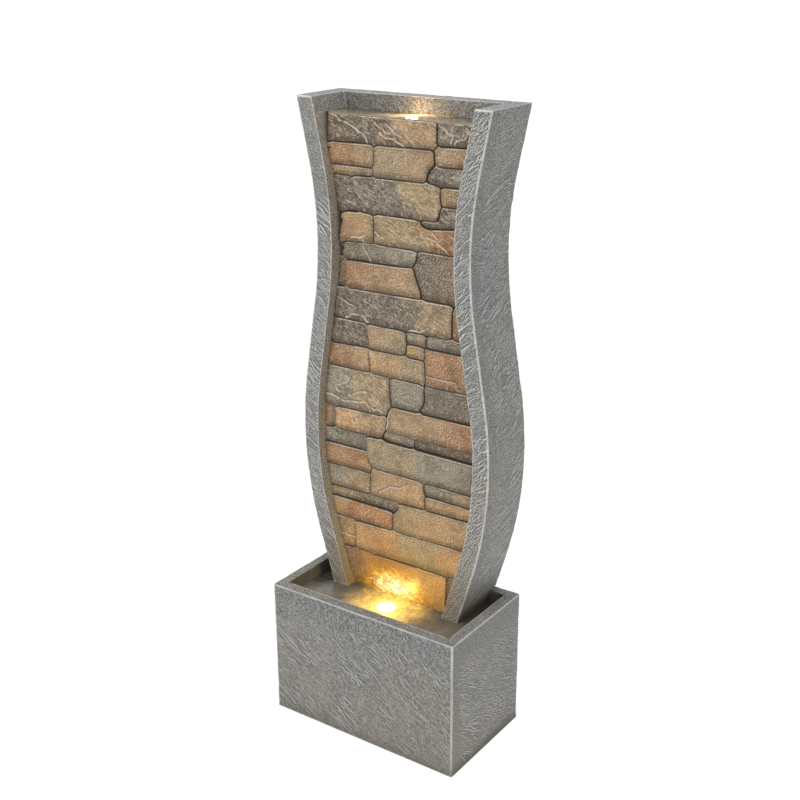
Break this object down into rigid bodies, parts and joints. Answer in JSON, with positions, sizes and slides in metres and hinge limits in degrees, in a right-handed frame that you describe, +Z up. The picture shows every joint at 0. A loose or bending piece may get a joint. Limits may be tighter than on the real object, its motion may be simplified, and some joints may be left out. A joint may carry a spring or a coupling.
{
  "type": "garden cascade fountain",
  "caption": "Free-standing garden fountain: a curved hollow wall with a stacked-stone cascade stands in a rectangular basin and holds a pump, hose, trough and submerged lamps.",
  "frame": {"origin": "middle of the footprint, on the ground under the foot pads", "axes": "+Z up, +X to the right seen from the front, +Y towards the flat back; the cascade faces -Y"},
  "size_m": [0.348, 0.2, 1],
  "materials": {
    "slate_resin": "cast resin, slate grey with brushed pale edges",
    "stone_resin": "cast resin, stacked stones painted tan, rust and grey",
    "tray_resin": "cast resin, unpainted grey",
    "rubber": "matt black rubber",
    "pump_plastic": "matt black moulding",
    "rotor_plastic": "pale grey moulding on a magnet",
    "dial_plastic": "blue moulding",
    "shaft_ceramic": "polished white ceramic",
    "hose_vinyl": "clear soft vinyl",
    "clamp_steel": "stainless steel",
    "bracket_steel": "stainless steel",
    "fitting_plastic": "dark grey moulding",
    "lamp_plastic": "black moulding",
    "lamp_board": "white board with warm chips",
    "lamp_lens": "clear lens"
  },
  "bodies": {
    "root": {"basin": "slate_resin", "wall_shell": "slate_resin", "rear_rim": "slate_resin", "rear_wall": "slate_resin", "top_trough": "tray_resin", "cascade_panel": "stone_resin", "foot_pads": "rubber", "cable_grommet": "rubber", "pump_body": "pump_plastic", "pump_shaft": "shaft_ceramic", "shaft_bushes": "rubber", "chamber_cover": "pump_plastic", "suction_cups": "rubber", "supply_hose": "hose_vinyl", "hose_clamps": "clamp_steel", "inlet_spigot": "fitting_plastic", "inlet_washer": "rubber", "inlet_nut": "fitting_plastic", "upper_lamp_cup": "rubber", "lower_lamp_bracket": "bracket_steel", "bracket_screws": "clamp_steel", "upper_lamp_housing": "lamp_plastic", "upper_lamp_board": "lamp_board", "upper_lamp_seal": "rubber", "upper_lamp_lens": "lamp_lens", "upper_lamp_bezel": "lamp_plastic", "lower_lamp_housing": "lamp_plastic", "lower_lamp_board": "lamp_board", "lower_lamp_seal": "rubber", "lower_lamp_lens": "lamp_lens", "lower_lamp_bezel": "lamp_plastic"},
    "rotor": {"pump_rotor": "rotor_plastic"},
    "strainer": {"pump_strainer": "pump_plastic"},
    "dial": {"flow_dial": "dial_plastic"},
    "door": {"rear_door": "slate_resin"}
  },
  "joints": [
    {"name": "impeller_spin", "type": "hinge", "parent": "root", "child": "rotor", "pos_m": [0.002, 0.052, 0.049], "axis": [1, 0, 0], "continuous": true},
    {"name": "strainer_slide", "type": "slide", "parent": "root", "child": "strainer", "axis": [-1, 0, 0], "range_m": [0, 0.045]},
    {"name": "dial_turn", "type": "hinge", "parent": "strainer", "child": "dial", "pos_m": [-0.0354, 0.052, 0.049], "axis": [1, 0, 0], "range_deg": [0, 90]},
    {"name": "door_pull", "type": "slide", "parent": "root", "child": "door", "axis": [0, 1, 0], "range_m": [0, 0.06]}
  ]
}
